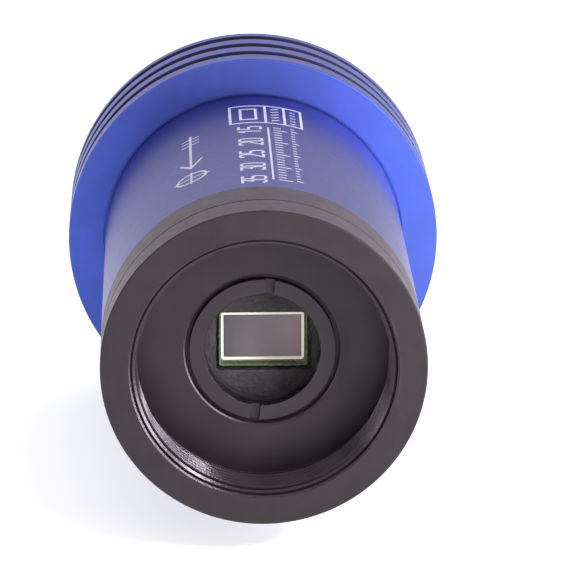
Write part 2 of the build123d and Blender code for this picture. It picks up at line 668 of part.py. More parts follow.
def board_pillars():
    """Hexagonal pillars pinned into the cover."""
    body = hex_pillar(INTERFACE_BOARD_REAR_Y, COVER_FRONT_Y)
    pin = rod(PILLAR_PIN_R, COVER_FRONT_Y, COVER_FRONT_Y + PILLAR_PIN_LENGTH)
    thread = rod(STUD_HOLE_R, INTERFACE_BOARD_REAR_Y, INTERFACE_BOARD_REAR_Y + THREAD_DEPTH)
    return at_each(body + pin - thread, ring_places(PILLAR_PCD_R, PILLAR_ANGLES))


def interface_board_screws():
    """Socket screws through the interface board into the pillars."""
    screw = cap_screw(SCREW_HEAD_R, SCREW_HEAD_HEIGHT, STUD_R, INTERFACE_BOARD_FRONT,
                      BOARD_SCREW_LENGTH, 1)
    return at_each(screw, ring_places(PILLAR_PCD_R, PILLAR_ANGLES))


def usb_controller():
    return chip(USB_CHIP_SIZE, USB_CHIP_CENTRE, USB_CHIP_HEIGHT, INTERFACE_BOARD_REAR_Y)


def thermal_pad():
    """Soft pad from the controller to the cover."""
    front = INTERFACE_BOARD_REAR_Y + USB_CHIP_HEIGHT
    return block(THERMAL_PAD_SIZE, USB_CHIP_CENTRE, front, COVER_FRONT_Y)


# --- connectors ---

def usb_c_shell():
    """Pressed shell with half-round ends, open at the rear."""
    inside = (USB_SIZE[0] - 2 * USB_WALL, USB_SIZE[1] - 2 * USB_WALL)
    shell = slot_block(USB_SIZE, USB_CENTRE, INTERFACE_BOARD_REAR_Y, USB_REAR_Y)
    return shell - slot_block(inside, USB_CENTRE, INTERFACE_BOARD_REAR_Y, USB_REAR_Y)


def usb_c_tongue():
    """Insulating base and tongue inside the shell."""
    base_size = (USB_SIZE[0] - 2 * USB_WALL, USB_SIZE[1] - 2 * USB_WALL)
    base = slot_block(base_size, USB_CENTRE, INTERFACE_BOARD_REAR_Y, USB_BASE_REAR_Y)
    tongue = block(USB_TONGUE_SIZE, USB_CENTRE, USB_BASE_REAR_Y, USB_REAR_Y - USB_TONGUE_SETBACK)
    return base + tongue


def guide_port_pins():
    """Four square pins that pass through the housing and the board."""
    size = (GUIDE_PIN_WIDTH, GUIDE_PIN_WIDTH)
    front = INTERFACE_BOARD_FRONT - GUIDE_PIN_TAIL
    rear = USB_REAR_Y - GUIDE_PIN_SETBACK
    return [block(size, place, front, rear) for place in guide_pin_places()]


def guide_port_housing():
    """Four-pin socket with a polarising notch in its upper wall."""
    body = soft_block(GUIDE_SIZE, GUIDE_CENTRE, 0.3, INTERFACE_BOARD_REAR_Y, USB_REAR_Y)
    cavity_front = USB_REAR_Y - GUIDE_CAVITY_DEPTH
    body -= block(GUIDE_CAVITY_SIZE, GUIDE_CENTRE, cavity_front, USB_REAR_Y)
    notch_centre = (GUIDE_CENTRE[0], GUIDE_CENTRE[1] + GUIDE_CAVITY_SIZE[1] / 2)
    body -= block(GUIDE_NOTCH_SIZE, notch_centre, cavity_front, USB_REAR_Y)
    return body - guide_port_pins()


def status_led():
    return block(LED_SIZE, LED_CENTRE, INTERFACE_BOARD_REAR_Y,
                 INTERFACE_BOARD_REAR_Y + LED_HEIGHT)


def light_pipe():
    """Clear pin with a shoulder behind the cover and a slightly domed end."""
    shoulder_r = LIGHT_PIPE_R + LIGHT_PIPE_SHOULDER
    shoulder_front = COVER_FRONT_Y - LIGHT_PIPE_SHOULDER_LENGTH
    front = INTERFACE_BOARD_REAR_Y + LIGHT_PIPE_GAP
    dome = LIGHT_PIPE_DOME
    pin = turned(
        (0, front),
        (LIGHT_PIPE_R, front),
        (LIGHT_PIPE_R, shoulder_front),
        (shoulder_r, shoulder_front),
        (shoulder_r, COVER_FRONT_Y),
        (LIGHT_PIPE_R, COVER_FRONT_Y),
        (LIGHT_PIPE_R, FLANGE_THICKNESS - dome),
        (LIGHT_PIPE_R - dome, FLANGE_THICKNESS),
        (0, FLANGE_THICKNESS))
    return moved(pin, LED_CENTRE)


# --- one STEP file for each sub-part ---

NODES = [nose_ring, spacer_shim, chamber_housing, front_oring, window_retainer, window_gasket,
         window_glass, sensor_package, sensor_cover_glass, sensor_die, sensor_bond_frame,
         sensor_mask, sensor_board, sensor_capacitors, sensor_socket, main_plug,
         stack_standoffs, main_board, main_board_screws, image_processor, memory_chip,
         clock_crystal, power_inductors, main_capacitors, flat_cable, flat_cable_sockets,
         barrel_tube, rear_housing, rear_gasket, rear_cover, rear_cover_screws,
         interface_board, board_pillars, interface_board_screws, usb_controller, thermal_pad,
         usb_c_shell, usb_c_tongue, guide_port_housing, guide_port_pins, status_led, light_pipe]


def main():
    os.makedirs("parts", exist_ok=True)
    for node in NODES:
        shape = node()
        if isinstance(shape, list):
            shape = Compound(children=shape)
        export_step(shape, "parts/" + node.__name__ + ".step")


main()
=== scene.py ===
import json
import math

import bmesh
import bpy
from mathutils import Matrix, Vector, noise


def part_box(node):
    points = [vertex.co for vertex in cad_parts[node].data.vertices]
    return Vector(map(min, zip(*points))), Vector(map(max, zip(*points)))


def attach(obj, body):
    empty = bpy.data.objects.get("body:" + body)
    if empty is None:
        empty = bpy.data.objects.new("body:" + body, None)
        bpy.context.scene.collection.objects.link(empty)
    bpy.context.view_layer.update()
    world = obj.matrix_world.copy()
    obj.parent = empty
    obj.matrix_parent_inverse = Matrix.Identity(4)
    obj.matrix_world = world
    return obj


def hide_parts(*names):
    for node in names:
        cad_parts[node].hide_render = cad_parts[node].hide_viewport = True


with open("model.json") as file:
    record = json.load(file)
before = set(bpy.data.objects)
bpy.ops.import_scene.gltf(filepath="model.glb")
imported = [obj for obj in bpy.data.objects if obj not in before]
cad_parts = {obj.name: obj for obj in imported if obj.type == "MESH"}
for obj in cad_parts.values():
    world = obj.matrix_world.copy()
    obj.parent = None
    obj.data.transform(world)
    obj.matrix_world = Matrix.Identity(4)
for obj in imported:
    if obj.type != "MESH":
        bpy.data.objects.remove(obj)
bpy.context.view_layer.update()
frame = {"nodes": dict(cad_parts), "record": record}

# Lengths below are millimetres until a mesh is made; MM turns them into metres.
# The optical axis is Y, the nose points to -Y, +Z is up. The shoulder, where the barrel meets
# the flange, is at y = 0.
MM = 0.001
X, Y, Z = range(3)


# --- sizes read from the frame ---

def low(node, axis):
    """Lowest coordinate of a CAD node along an axis, in millimetres."""
    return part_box(node)[0][axis] / MM


def high(node, axis):
    """Highest coordinate of a CAD node along an axis, in millimetres."""
    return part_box(node)[1][axis] / MM


NOSE_Y = low("nose_ring", Y)
RING_REAR_Y = high("nose_ring", Y)
COLLAR_FRONT_Y = high("spacer_shim", Y)
NECK_FRONT_Y = low("chamber_housing", Y)
CHAMBER_REAR_Y = high("chamber_housing", Y)
COLLAR_REAR_Y = low("barrel_tube", Y)
TUBE_REAR_Y = high("barrel_tube", Y)
BARREL_R = high("nose_ring", X)
SHIM_R = high("spacer_shim", X)
FLANGE_R = high("rear_housing", X)
FLANGE_REAR_Y = high("rear_housing", Y)
COVER_R = high("rear_cover", X)
GASKET_FRONT_Y = low("rear_gasket", Y)
FLOOR_Y = low("window_retainer", Y)
RETAINER_REAR_Y = high("window_retainer", Y)
WINDOW_REAR_Y = high("window_glass", Y)

# --- sizes that no box gives ---
FIT = 0.05                    # gap between two walls that fit together

# front ring and the neck inside it
MOUTH_R = 12.92
MOUTH_BEVEL_WIDTH = 0.2
MOUTH_BEVEL_LENGTH = 0.125
SPIGOT_FRONT_Y = NOSE_Y + 2.5
NOSE_CHAMFER = 0.12
NECK_CHAMFER = 0.08
SEAM_CHAMFER = 0.08

# threads
RING_THREAD_R = 14.25
RING_THREAD_PITCH = 0.6
RING_THREAD_HEIGHT = 0.33
RING_THREAD_LEAD_IN = 0.15
LENS_THREAD_MINOR_R = 12.27
LENS_THREAD_MAJOR_R = 12.70
LENS_THREAD_PITCH = 25.4 / 32
CREST_SHARE = 0.16            # of a thread's pitch that is flat at the crest
FLANK_SHARE = 0.62            # of its pitch that the two flanks take

# bevel and groove in front of the lens thread, and the run-out behind it
BEVEL_R = 12.47
BEVEL_LENGTH = 0.15
ENTRY_GROOVE_R = 12.66
ENTRY_WALL_LENGTH = 0.04      # from the bevel's narrow end out to the groove
ENTRY_LENGTH = 0.5            # bevel and groove together
RUNOUT_R = 12.75
RUNOUT_LENGTH = 1.75

# floor of the lens mouth, window recess and the bay behind
RETAINER_BORE_R = 5.68
RETAINER_SEAT_R = 7.2
RECESS_R = 7.6
RECESS_DEPTH = 0.9
RECESS_CHAMFER = 0.1
RECESS_CHAMFER_WIDTH = 0.17
WINDOW_SEAT_R = 7.0
APERTURE_R = 5.6
WEB_REAR_Y = NOSE_Y + 9.2
CHAMBER_BAY_R = 12.4

# barrel and flange
TUBE_BORE_R = 14.25
TUBE_NECK_R = 15.6
TUBE_SPIGOT_R = 15.2
FLANGE_SEAT_R = 16.05
FLANGE_SEAT_DEPTH = 0.3
FLANGE_FRONT_CHAMFER = 0.12
FLANGE_REAR_CHAMFER = 0.4
GROOVE_CENTRES = (3.1, 6.8, 10.4)
GROOVE_WIDTH = 1.7
GROOVE_BOTTOM_R = 17.8
HOUSING_BAY_R = 16.0
HOUSING_BAY_FRONT_Y = 4.6

# radii of rounded corners
EDGE = 0.03
SHIM_EDGE = 0.02
SHOULDER_EDGE = 0.02
FACE_EDGE = 0.05              # rims of the nose and of the flange's front
BORE_EDGE = 0.06
RUNOUT_CORNER = 0.08
GROOVE_EDGE = 0.04
GROOVE_CORNER = 0.15
FLANGE_REAR_EDGE = 0.1
COVER_SEAT_EDGE = 0.08

# fineness of the meshes
ROUND_STEPS = 256             # segments round the barrel
THREAD_ROWS = 18              # rows of points for each turn of a thread
EDGE_STEPS = 4                # steps over a rounded edge of a turned piece
CORNER_STEPS = 8              # steps round a corner of a rectangle
TURNED_WELD = 0.002           # points of a turned piece that are closer than this are joined
CAD_WELD = 0.001              # the same for the copy of a CAD node
FLAT_ANGLE = 0.5              # degrees; CAD faces that turn less become one
SHARP_ANGLE = 35              # degrees; edges that turn more stay sharp
THREAD_SHARP_ANGLE = 22       # the same for the piece with the lens thread
EASED_ANGLE = 40              # degrees; edges of CAD copies that turn more are rounded


# --- mesh helpers ---

def eased(corners):
    """Outline points with arcs in place of corners. A corner is (r, y) or (r, y, radius)."""
    points = []
    count = len(corners)
    for index, corner in enumerate(corners):
        here = Vector(corner[:2])
        if len(corner) == 2:
            points.append(here)
            continue
        before = Vector(corners[index - 1][:2]) - here
        after = Vector(corners[(index + 1) % count][:2]) - here
        turn = before.angle(after)
        reach = corner[2] / math.tan(turn / 2)
        start = here + before.normalized() * reach
        end = here + after.normalized() * reach
        for step in range(EDGE_STEPS + 1):
            t = step / EDGE_STEPS
            points.append(start * (1 - t) ** 2 + here * 2 * t * (1 - t) + end * t ** 2)
    return points


def straight(outline):
    """Rows with the same radius all the way round, one for each outline point."""
    return [(point[1], lambda angle, radius=point[0]: radius) for point in outline]


def thread_rows(front, rear, crest_r, root_r, pitch, lead_in=0.0):
    """Rows of a right-hand thread from front to rear; it grows over the lead-in."""
    rows = []
    count = max(2, round((rear - front) / pitch * THREAD_ROWS))
    for index in range(count + 1):
        y = front + (rear - front) * index / count

        def radius(angle, y=y):
            phase = (y / pitch + angle / math.tau) % 1.0
            ramp = abs(phase - 0.5) * 2
            share = min(1.0, max(0.0, (ramp - CREST_SHARE) / FLANK_SHARE))
            cut_back = max(0.0, 1 - (y - front) / lead_in) if lead_in else 0.0
            return crest_r + (root_r - crest_r) * max(share, cut_back)

        rows.append((y, radius))
    return rows


def new_piece(name, mesh, material, replaced=(), body="camera"):
    """Links a mesh as a piece that rides on a body and stands for CAD nodes."""
    piece = bpy.data.objects.new(name, mesh)
    bpy.context.scene.collection.objects.link(piece)
    mesh.materials.append(material)
    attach(piece, body)
    if replaced:
        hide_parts(*replaced)
    return piece


def stand_in(node, kind, mesh, body="camera"):
    """A piece that stands for one CAD node, in that node's slot and finish."""
    slot = node_slots[node]
    return new_piece(f"{node}_{kind}", mesh, finishes[slot], [node], body)


def mend(mesh, weld=0.0, flat_angle=0.0):
    """Joins close points, merges nearly flat faces and turns all faces outwards."""
    work = bmesh.new()
    work.from_mesh(mesh)
    if weld:
        bmesh.ops.remove_doubles(work, verts=work.verts, dist=weld * MM)
    if flat_angle:
        bmesh.ops.dissolve_limit(work, angle_limit=math.radians(flat_angle),
                                 verts=work.verts, edges=work.edges)
    bmesh.ops.recalc_face_normals(work, faces=work.faces)
    work.to_mesh(mesh)
    work.free()


def smooth(mesh, limit=SHARP_ANGLE):
    """Smooth shading that keeps edges sharper than the limit in degrees."""
    for polygon in mesh.polygons:
        polygon.use_smooth = True
    mesh.set_sharp_from_angle(angle=math.radians(limit))


def weigh_normals(piece):
    """Keeps big flat faces flat-looking beside their small rounded edges."""
    modifier = piece.modifiers.new("weighted", "WEIGHTED_NORMAL")
    modifier.mode = "FACE_AREA"
    modifier.weight = 100
    modifier.keep_sharp = True


def ring_faces(rings, count, closed):
    """Faces between rings of count points each; closed joins the last ring to the first."""
    faces = []
    for ring in range(rings if closed else rings - 1):
        one = ring * count
        two = (ring + 1) % rings * count
        for step in range(count):
            follow = (step + 1) % count
            faces.append((one + step, two + step, two + follow, one + follow))
    return faces


def lathe_mesh(name, rows, limit):
    """Closed surface round Y. A row is a place along Y and a radius for each angle."""
    verts = []
    for y, radius in rows:
        for segment in range(ROUND_STEPS):
            angle = math.tau * segment / ROUND_STEPS
            reach = radius(angle) * MM
            verts.append((reach * math.cos(angle), y * MM, reach * math.sin(angle)))
    mesh = bpy.data.meshes.new(name)
    mesh.from_pydata(verts, [], ring_faces(len(rows), ROUND_STEPS, True))
    mend(mesh, TURNED_WELD)
    smooth(mesh, limit)
    return mesh


def make_turned(node, rows, body="camera", limit=SHARP_ANGLE):
    """A turned piece from its rows, standing for a CAD node."""
    weigh_normals(stand_in(node, "turned", lathe_mesh(node, rows, limit), body))


def make_eased_copy(node, width):
    """A CAD node's own shape with its sharp edges rounded, standing for that node."""
    mesh = frame["nodes"][node].data.copy()
    mesh.name = node + "_eased"
    mesh.materials.clear()
    if "custom_normal" in mesh.attributes:
        mesh.attributes.remove(mesh.attributes["custom_normal"])
    mend(mesh, CAD_WELD, FLAT_ANGLE)
    piece = stand_in(node, "eased", mesh)
    bevel = piece.modifiers.new("eased", "BEVEL")
    bevel.width = width * MM
    bevel.segments = 2
    bevel.limit_method = "ANGLE"
    bevel.angle_limit = math.radians(EASED_ANGLE)
    smooth(mesh)
    weigh_normals(piece)


def node_sides(node, grow=0.0):
    """A node's left, lower, right and upper sides, grown by a margin, in millimetres."""
    return (low(node, X) - grow, low(node, Z) - grow, high(node, X) + grow, high(node, Z) + grow)


def between(outer, inner, share):
    """Sides part of the way from an outer rectangle to an inner one."""
    return [one + (two - one) * share for one, two in zip(outer, inner)]


def rounded_ring(sides, corner, y):
    """Points of a rectangle with rounded corners that stands across the axis at y."""
    left, lower, right, upper = sides
    centres = ((right - corner, upper - corner), (left + corner, upper - corner),
               (left + corner, lower + corner), (right - corner, lower + corner))
    points = []
    for quarter, (x, z) in enumerate(centres):
        for step in range(CORNER_STEPS + 1):
            angle = math.pi / 2 * (quarter + step / CORNER_STEPS)
            points.append(((x + corner * math.cos(angle)) * MM, y * MM,
                           (z + corner * math.sin(angle)) * MM))
    return points


def frame_mesh(name, rings, closed):
    """Skin over rings with equal numbers of points; an open stack is capped at both ends."""
    count = len(rings[0])
    faces = ring_faces(len(rings), count, closed)
    if not closed:
        faces.append(tuple(range(count)))
        faces.append(tuple(range((len(rings) - 1) * count, len(rings) * count)))
    mesh = bpy.data.meshes.new(name)
    mesh.from_pydata([point for ring in rings for point in ring], [], faces)
    mend(mesh)
    smooth(mesh)
    return mesh


# --- material helpers ---

NOISE_LOW = 0.3               # noise seldom leaves this range
NOISE_HIGH = 0.7
FADE = 0.05                   # length over which one look turns into the next
TURNING_PITCH = 0.05          # spacing of the tool marks
CUT_GRAIN = 0.2               # size of the unevenness on a freshly cut wall
TONE_NOISE = (260, 4, 0.6)    # arguments for Finish.noise
GLOSS_NOISE = (900, 3, 0.6)
GLOSS_DROP = 0.04             # how far a roughness drifts down
GLOSS_RISE = 0.05             # and up


class Finish:
    """A node material under construction, in the object's own coordinates."""

    def __init__(self, name, **values):
        self.name = name
        self.material = bpy.data.materials.new(name)
        self.material.use_nodes = True
        self.tree = self.material.node_tree
        self.shader = self.tree.nodes["Principled BSDF"]
        self.place = self.node("ShaderNodeTexCoord").outputs["Object"]
        self.last_normal = None
        for key, value in values.items():
            self.shader.inputs[key.replace("_", " ")].default_value = value

    def node(self, kind, **settings):
        made = self.tree.nodes.new(kind)
        for key, value in settings.items():
            setattr(made, key, value)
        return made

    def link(self, output, target):
        self.tree.links.new(output, target)

    def noise(self, scale, detail, roughness=0.5):
        """0 to 1 noise with this many cells to a metre."""
        made = self.node("ShaderNodeTexNoise")
        made.inputs["Scale"].default_value = scale
        made.inputs["Detail"].default_value = detail
        made.inputs["Roughness"].default_value = roughness
        self.link(self.place, made.inputs["Vector"])
        return made.outputs["Fac"]

    def spread(self, source, low_value, high_value, low_in=NOISE_LOW, high_in=NOISE_HIGH):
        """A source's range, stretched to the range between two values."""
        made = self.node("ShaderNodeMapRange")
        made.inputs["From Min"].default_value = low_in
        made.inputs["From Max"].default_value = high_in
        made.inputs["To Min"].default_value = low_value
        made.inputs["To Max"].default_value = high_value
        self.link(source, made.inputs["Value"])
        return made.outputs["Result"]

    def blend(self, source, first, second):
        """A colour between two by a noise."""
        made = self.node("ShaderNodeValToRGB")
        ramp = made.color_ramp
        ramp.elements[0].position = NOISE_LOW
        ramp.elements[1].position = NOISE_HIGH
        ramp.elements[0].color = (*first, 1)
        ramp.elements[1].color = (*second, 1)
        self.link(source, made.inputs["Fac"])
        return made.outputs["Color"]

    def colour(self, output):
        self.link(output, self.shader.inputs["Base Color"])

    def rough(self, output):
        self.link(output, self.shader.inputs["Roughness"])

    def bump(self, height, distance):
        """Adds a bump layer; distance is its real height in millimetres."""
        made = self.node("ShaderNodeBump")
        made.inputs["Strength"].default_value = 1.0
        made.inputs["Distance"].default_value = distance * MM
        self.link(height, made.inputs["Height"])
        if self.last_normal is not None:
            self.link(self.last_normal, made.inputs["Normal"])
        self.last_normal = made.outputs["Normal"]
        self.link(self.last_normal, self.shader.inputs["Normal"])

    def along(self, axis):
        """Place along X, Y or Z."""
        parts = self.node("ShaderNodeSeparateXYZ")
        self.link(self.place, parts.inputs[0])
        return parts.outputs[axis]

    def from_axis(self):
        """Distance from the optical axis."""
        flat = self.node("ShaderNodeVectorMath", operation="MULTIPLY")
        flat.inputs[1].default_value = (1, 0, 1)
        self.link(self.place, flat.inputs[0])
        length = self.node("ShaderNodeVectorMath", operation="LENGTH")
        self.link(flat.outputs["Vector"], length.inputs[0])
        return length.outputs["Value"]

    def fade(self, source, start, end, before=0.0, after=1.0):
        """One value up to a length in millimetres, another past the end, a ramp between."""
        return self.spread(source, before, after, start * MM, end * MM)

    def band(self, source, start, end):
        """1 where a length in millimetres is between start and end, else 0."""
        return self.times(self.fade(source, start - FADE, start),
                          self.fade(source, end, end + FADE, 1.0, 0.0))

    def times(self, one, two):
        made = self.node("ShaderNodeMath", operation="MULTIPLY")
        self.link(one, made.inputs[0])
        self.link(two, made.inputs[1])
        return made.outputs[0]

    def mix(self, share, first, second):
        """A colour between two, each a colour or an output, by a 0 to 1 share."""
        made = self.node("ShaderNodeMix", data_type="RGBA")
        self.link(share, made.inputs["Factor"])
        for source, socket in ((first, "A"), (second, "B")):
            target = [one for one in made.inputs
                      if one.name == socket and one.type == "RGBA"][0]
            if isinstance(source, tuple):
                target.default_value = (*source, 1)
            else:
                self.link(source, target)
        return [one for one in made.outputs if one.type == "RGBA"][0]

    def turning_marks(self, pitch):
        """0 to 1 height of fine irregular rings about the optical axis."""
        made = self.node("ShaderNodeTexNoise", noise_dimensions="2D")
        made.inputs["Scale"].default_value = 1.0
        made.inputs["Detail"].default_value = 3.0
        joined = self.node("ShaderNodeCombineXYZ")
        for source, socket in ((self.from_axis(), "X"), (self.along("Y"), "Y")):
            scaled = self.node("ShaderNodeMath", operation="MULTIPLY")
            scaled.inputs[1].default_value = 1 / (pitch * MM)
            self.link(source, scaled.inputs[0])
            self.link(scaled.outputs[0], joined.inputs[socket])
        self.link(joined.outputs[0], made.inputs["Vector"])
        return made.outputs["Fac"]


def grained(name, dark, light, roughness, grain=0.12, height=0.004, marks=0.0, **values):
    """Blasted metal or moulded plastic: fine grain, faint colour drift, soft gloss change."""
    finish = Finish(name, **values)
    finish.tone = finish.blend(finish.noise(*TONE_NOISE), dark, light)
    finish.gloss = finish.spread(finish.noise(*GLOSS_NOISE), roughness - GLOSS_DROP,
                                 roughness + GLOSS_RISE)
    finish.colour(finish.tone)
    finish.rough(finish.gloss)
    finish.bump(finish.noise(1 / (grain * MM), 2, 0.6), height)
    if marks:
        finish.bump(finish.turning_marks(TURNING_PITCH), marks)
    return finish


def mottled(name, dark, light, tone, gloss, roughness, **values):
    """Drift of tone and gloss; tone and gloss are the arguments for Finish.noise."""
    finish = Finish(name, **values)
    finish.colour(finish.blend(finish.noise(*tone), dark, light))
    finish.rough(finish.spread(finish.noise(*gloss), *roughness))
    return finish


def cut_bright(finish, inner_r, outer_r, rear_y, gloss, sparkle):
    """Freshly cut walls between two radii, in front of rear_y, are glossy and uneven."""
    walls = finish.band(finish.from_axis(), inner_r, outer_r)
    in_front = finish.fade(finish.along("Y"), rear_y, rear_y + FADE, 1.0, 0.0)
    cut = finish.times(walls, in_front)
    finish.gloss = finish.times(finish.gloss, finish.spread(cut, 1.0, gloss, 0.0, 1.0))
    finish.rough(finish.gloss)
    grain = finish.noise(1 / (CUT_GRAIN * MM), 3, 0.75)
    finish.bump(finish.times(grain, cut), sparkle)


# --- finishes, one for each material slot ---

# black dye reflects a little purple
BLACK_DYE = {"marks": 0.001, "Specular_Tint": (1.0, 0.9, 1.0, 1)}
BLACK_SHEEN = {"Sheen_Weight": 0.03, "Sheen_Tint": (1.0, 0.3, 0.9, 1)}
BLUE_DYE = {"grain": 0.14, "height": 0.002, "Metallic": 1.0, "Coat_Weight": 1.0,
            "Specular_Tint": (0.06, 0.08, 0.5, 1)}


def black_anodised():
    """Front ring; the bevel and the wall of its mouth are freshly cut."""
    finish = grained("black_anodised", (0.0080, 0.0066, 0.0075), (0.0125, 0.0103, 0.0118), 0.42,
                     grain=0.16, height=0.012, Specular_IOR_Level=0.27, **BLACK_DYE,
                     **BLACK_SHEEN)
    inside_r = MOUTH_R - 0.1
    cut_bright(finish, inside_r, MOUTH_R + MOUTH_BEVEL_WIDTH, RING_REAR_Y, gloss=0.4,
               sparkle=0.025)
    return finish


def black_anodised_fine():
    """Chamber housing; the lens thread and the recess chamfer are freshly cut."""
    finish = grained("black_anodised_fine", (0.0070, 0.0051, 0.0067), (0.0110, 0.0082, 0.0106),
                     0.44, Specular_IOR_Level=0.30, **BLACK_DYE, **BLACK_SHEEN)
    floor_r = RECESS_R + 1
    above_floor_y = FLOOR_Y - 0.04
    cut_bright(finish, floor_r, MOUTH_R, above_floor_y, gloss=0.4, sparkle=0.014)
    cut_bright(finish, RECESS_R, RECESS_R + RECESS_CHAMFER_WIDTH, FLOOR_Y + RECESS_CHAMFER,
               gloss=0.72, sparkle=0.02)
    return finish


def black_anodised_ring():
    """Window retainer; its bore is blacker and glossier than its front."""
    finish = grained("black_anodised_ring", (0.009, 0.007, 0.009), (0.014, 0.011, 0.014), 0.40,
                     Specular_IOR_Level=0.30, **BLACK_DYE)
    start = RETAINER_BORE_R + 0.01
    end = start + FADE
    finish.rough(finish.times(finish.gloss, finish.fade(finish.from_axis(), start, end, 0.35)))
    finish.colour(finish.mix(finish.fade(finish.from_axis(), start, end),
                             (0.002, 0.002, 0.002), finish.tone))
    return finish


def black_anodised_cover():
    return grained("black_anodised_cover", (0.014, 0.011, 0.013), (0.022, 0.018, 0.021), 0.45,
                   grain=0.15, Specular_IOR_Level=0.4)


def blue_anodised():
    return grained("blue_anodised", (0.017, 0.010, 0.215), (0.024, 0.016, 0.265), 0.38,
                   Coat_Roughness=0.42, Coat_IOR=1.56, **BLUE_DYE)


def blue_anodised_flange():
    """Flange; painted shade makes the walls and floors of its cooling grooves a dark navy."""
    finish = grained("blue_anodised_flange", (0.010, 0.040, 0.33), (0.015, 0.055, 0.41), 0.36,
                     marks=0.0008, Coat_Roughness=0.44, Coat_IOR=1.58, **BLUE_DYE)
    land_start_y = 1.5       # the land in front of the first groove
    land_end_y = 1.7
    rim_r = FLANGE_R - 0.01
    behind_front = finish.fade(finish.along("Y"), land_start_y, land_end_y)
    below_rim = finish.fade(finish.from_axis(), rim_r - FADE, rim_r, 1.0, 0.0)
    # painted shade: dark navy on the groove walls and floors, behind the front land and below
    # the rim
    finish.colour(finish.mix(finish.times(behind_front, below_rim), finish.tone,
                             (0.018, 0.018, 0.085)))
    return finish


def blackened_brass():
    return grained("blackened_brass", (0.010, 0.009, 0.010), (0.020, 0.018, 0.020), 0.5)


def laser_mark():
    """The marks on the barrel, for which the record has no slot."""
    return grained("laser_mark", (0.36, 0.34, 0.47), (0.45, 0.43, 0.57), 0.6, grain=0.08)


def seal_rubber():
    finish = mottled("seal_rubber", (0.010, 0.010, 0.010), (0.02, 0.02, 0.02), tone=(600, 3),
                     gloss=(1500, 2), roughness=(0.55, 0.75), IOR=1.45)
    finish.bump(finish.noise(5000, 2), 0.005)
    return finish


def coated_glass():
    return mottled("coated_glass", (0.002, 0.004, 0.004), (0.004, 0.006, 0.007), tone=(120, 1),
                   gloss=(400, 2), roughness=(0.02, 0.05), Alpha=0.035, IOR=1.45)


def lid_glass():
    return mottled("lid_glass", (0.004, 0.005, 0.004), (0.006, 0.007, 0.006), tone=(200, 1),
                   gloss=(400, 2), roughness=(0.03, 0.06), Alpha=0.03, IOR=1.45)


def package_green():
    return mottled("package_green", (0.075, 0.100, 0.045), (0.105, 0.134, 0.064),
                   tone=(900, 3, 0.6), gloss=(2500, 2), roughness=(0.22, 0.30), IOR=1.5)


def silicon():
    """Sensor's die: its coating's tone runs from dark cool at left to bright warm at right; the
    brighter right is painted light.
    """
    finish = Finish("silicon", IOR=1.6)
    painted_light_across = finish.fade(finish.along("X"), low("sensor_die", X), high("sensor_die", X))
    cool = finish.blend(finish.noise(160, 1, 0.4), (0.050, 0.050, 0.064), (0.062, 0.053, 0.064))
    warm = finish.blend(finish.noise(210, 1, 0.4), (0.280, 0.188, 0.215), (0.305, 0.204, 0.232))
    # painted light: the right of the die is brighter than the left
    finish.colour(finish.mix(painted_light_across, cool, warm))
    finish.rough(finish.spread(finish.noise(3000, 2), 0.30, 0.40))
    return finish


def bond_pads():
    """The frame round the die; it glows a little: painted glare, a light of its own where no
    lamp is.
    """
    return mottled("bond_pads", (0.88, 0.83, 0.72), (0.95, 0.91, 0.82), tone=(2200, 2),
                   gloss=(3000, 2), roughness=(0.30, 0.42), IOR=1.5,
                   # the emission is painted glare
                   Emission_Color=(1, 0.95, 0.88, 1), Emission_Strength=0.32)


def black_foam():
    finish = mottled("black_foam", (0.016, 0.0135, 0.0155), (0.056, 0.047, 0.053),
                     tone=(3200, 4, 0.7), gloss=(2500, 3), roughness=(0.6, 0.9), IOR=1.4)
    finish.bump(finish.noise(5200, 3, 0.7), 0.03)
    return finish


def circuit_board():
    return mottled("circuit_board", (0.006, 0.060, 0.025), (0.012, 0.10, 0.04), tone=(1800, 2),
                   gloss=(900, 2), roughness=(0.3, 0.45), IOR=1.5)


# two tones and a roughness for each slot that has no function of its own
MOULDED = {
    "ceramic": ((0.34, 0.24, 0.15), (0.48, 0.36, 0.24), 0.45),
    "connector_plastic": ((0.018, 0.018, 0.019), (0.032, 0.031, 0.033), 0.42),
    "chip_epoxy": ((0.016, 0.016, 0.018), (0.030, 0.030, 0.033), 0.55),
    "ferrite": ((0.035, 0.035, 0.036), (0.07, 0.07, 0.07), 0.6),
    "cable_film": ((0.62, 0.63, 0.62), (0.76, 0.77, 0.75), 0.35),
    "thermal_rubber": ((0.30, 0.34, 0.38), (0.40, 0.44, 0.48), 0.7),
    "led_body": ((0.72, 0.72, 0.66), (0.86, 0.86, 0.80), 0.25),
    "clear_plastic": ((0.55, 0.62, 0.60), (0.66, 0.72, 0.70), 0.12),
}
BARE_METAL = {
    "plated_brass": ((0.55, 0.50, 0.36), (0.68, 0.62, 0.46), 0.28),
    "screw_steel": ((0.035, 0.034, 0.034), (0.065, 0.062, 0.060), 0.34),
    "nickel_can": ((0.50, 0.48, 0.45), (0.62, 0.60, 0.56), 0.24),
    "gold_pins": ((0.78, 0.52, 0.18), (0.88, 0.64, 0.28), 0.22),
}


def make_finishes():
    """Materials by the name of their slot."""
    made = [make() for make in (
        black_anodised, black_anodised_fine, black_anodised_ring, black_anodised_cover,
        blue_anodised, blue_anodised_flange, blackened_brass, laser_mark, seal_rubber,
        coated_glass, lid_glass, package_green, silicon, bond_pads, black_foam, circuit_board)]
    made += [grained(slot, *look, grain=0.2, height=0.003) for slot, look in MOULDED.items()]
    made += [grained(slot, *look, grain=0.3, height=0.001, Metallic=1.0)
             for slot, look in BARE_METAL.items()]
    return {finish.name: finish.material for finish in made}


finishes = make_finishes()
node_slots = {part["node"]: part["material_slot"] for part in frame["record"]["subparts"]}
for node_name, node_object in frame["nodes"].items():
    node_object.data.materials.clear()
    node_object.data.materials.append(finishes[node_slots[node_name]])


# --- the nose ---

